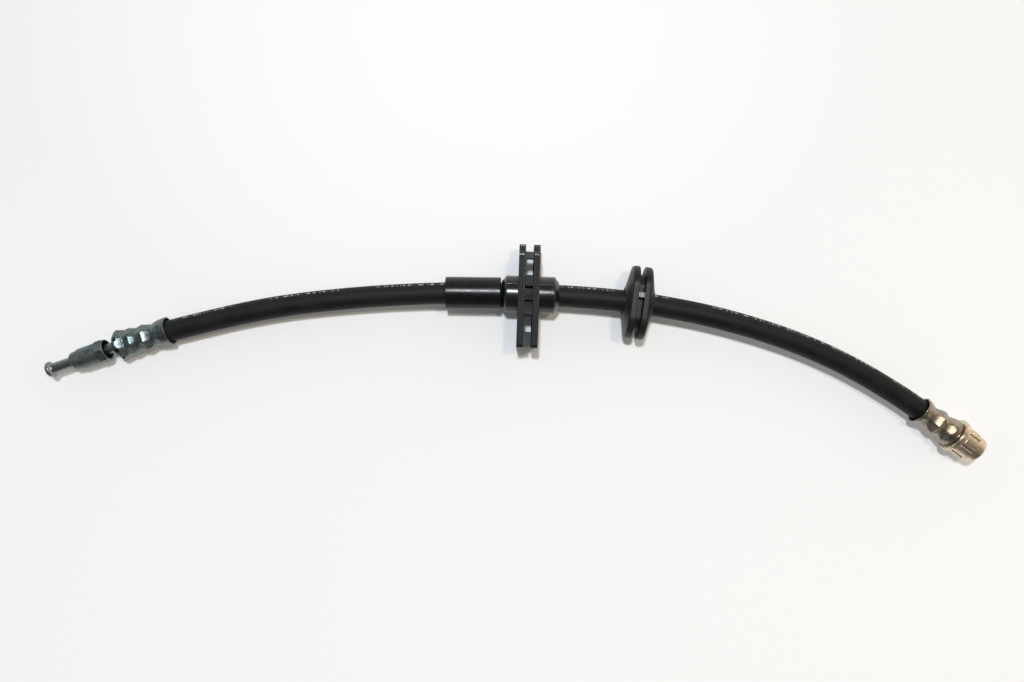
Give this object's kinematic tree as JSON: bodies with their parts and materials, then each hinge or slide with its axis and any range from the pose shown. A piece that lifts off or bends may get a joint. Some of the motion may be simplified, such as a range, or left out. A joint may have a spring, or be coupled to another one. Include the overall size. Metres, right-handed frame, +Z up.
{
  "type": "brake hose",
  "caption": "Flexible rubber brake hose with crimped steel ends, a loose tube nut, a protective sleeve, a flanged bracket clip and a grooved grommet.",
  "frame": {"origin": "centre of the footprint of the hose as it lies, on the surface that it rests on", "axes": "+X along the lay, from the tube nut end to the female end; +Y to the side that the lay bows out to; +Z up"},
  "size_m": [0.455, 0.1048, 0.021],
  "materials": {
    "hose_rubber": "matte black extruded rubber",
    "clear_zinc_steel": "clear blue-grey zinc plating",
    "tube_steel": "satin grey plated steel tube",
    "nut_steel": "dark grey-green coated steel",
    "yellow_zinc_steel": "yellow iridescent zinc plating",
    "yellow_zinc_fitting": "yellow iridescent zinc plating",
    "sleeve_plastic": "satin black",
    "clip_plastic": "moulded black, slightly glossy",
    "grommet_rubber": "moulded dark grey rubber"
  },
  "bodies": {
    "hose_assembly": {"hose": "hose_rubber", "left_ferrule": "clear_zinc_steel", "tube_stub": "tube_steel", "right_ferrule": "yellow_zinc_steel", "female_end": "yellow_zinc_fitting", "protective_sleeve": "sleeve_plastic", "bracket_clip": "clip_plastic", "grommet": "grommet_rubber"},
    "nut": {"tube_nut": "nut_steel"}
  },
  "joints": [
    {"name": "nut_slide", "type": "slide", "parent": "hose_assembly", "child": "nut", "axis": [-0.9423, -0.3346, 0], "range_m": [-0.0044, 0.0098]}
  ]
}
